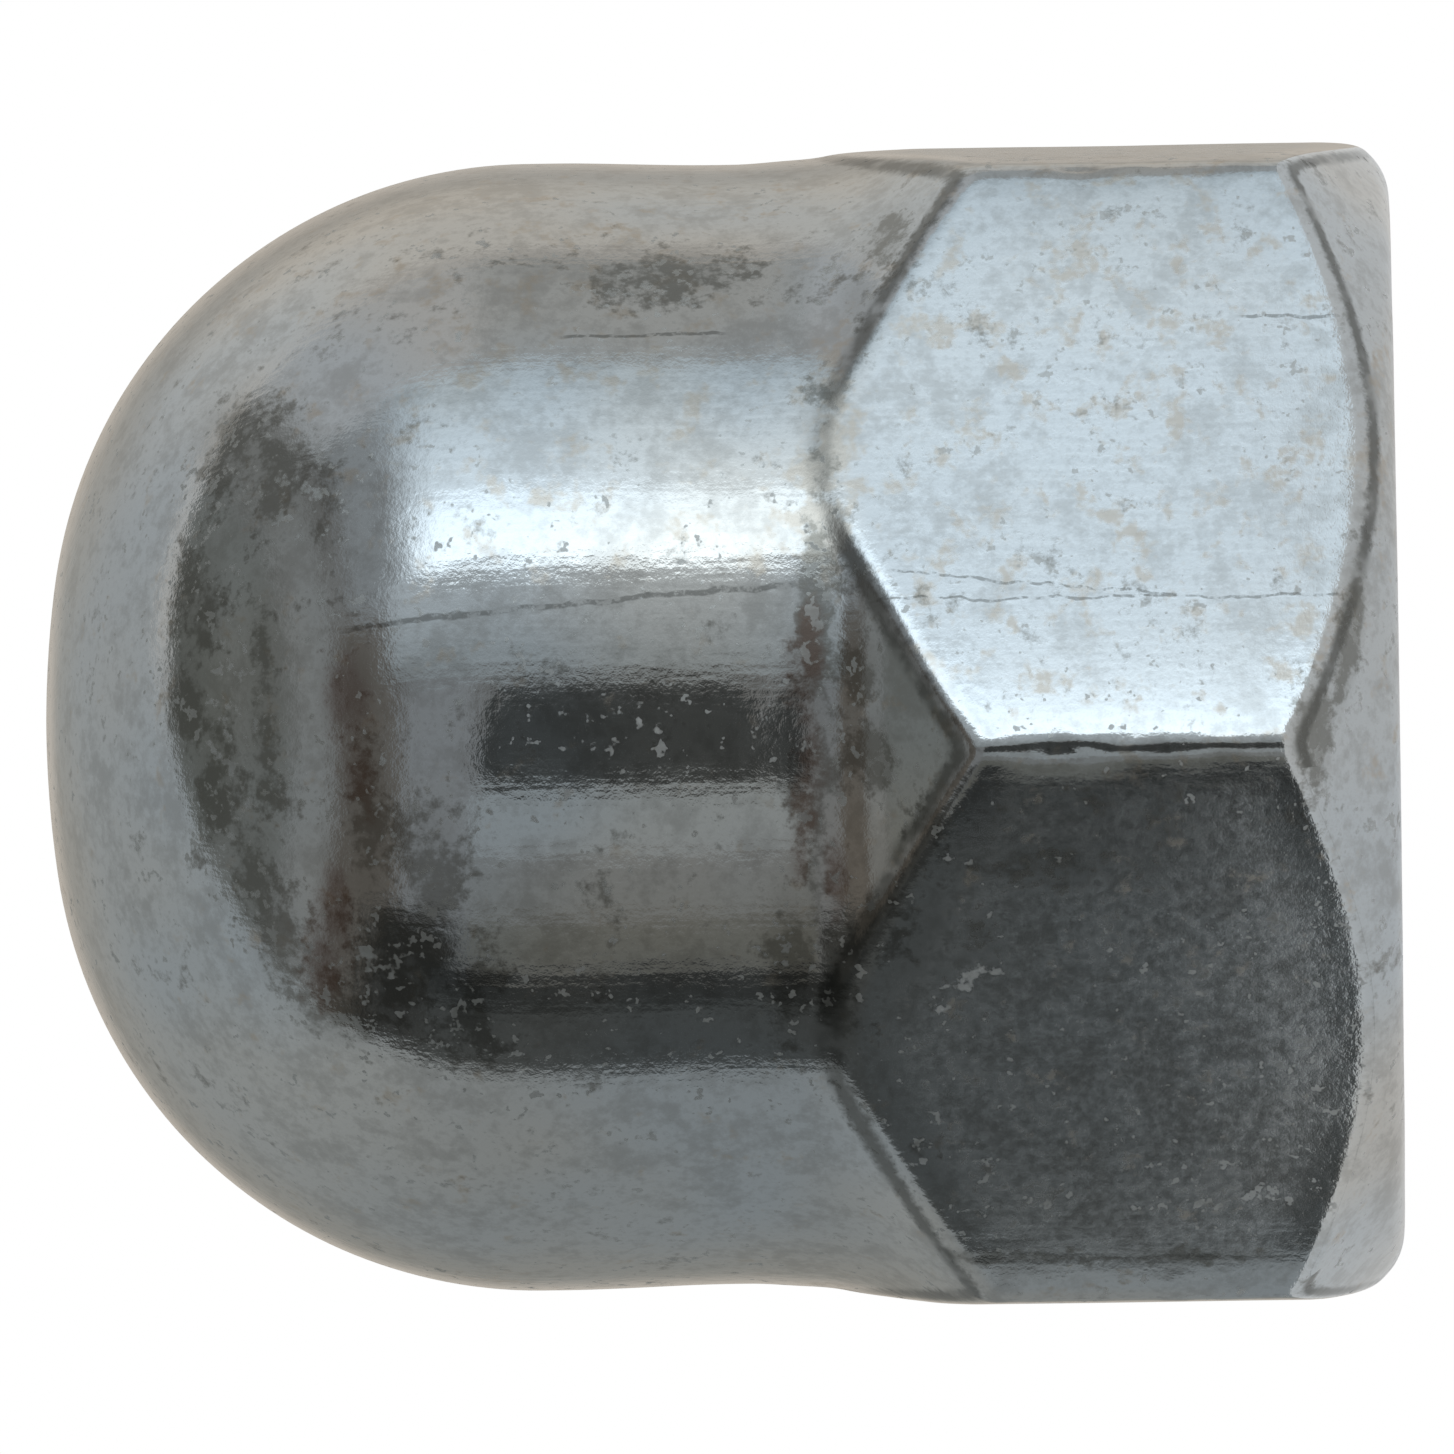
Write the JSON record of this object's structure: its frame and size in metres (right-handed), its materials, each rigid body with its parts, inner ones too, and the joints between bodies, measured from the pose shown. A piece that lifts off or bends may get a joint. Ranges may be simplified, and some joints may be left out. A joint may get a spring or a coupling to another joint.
{
  "type": "cap nut",
  "caption": "Domed hexagonal cap nut in worn plated steel, with a blind threaded hole that closes over the end of a bolt or stud.",
  "frame": {"origin": "centre of the bearing face, at the mouth of the threaded hole", "axes": "+Z along the thread axis from the bearing face to the crown of the dome, with two corners of the hexagon on the Y axis"},
  "size_m": [0.013, 0.015, 0.0154],
  "materials": {
    "plated_steel": "satin"
  },
  "bodies": {
    "root": {"cap_nut": "plated_steel"}
  },
  "joints": []
}
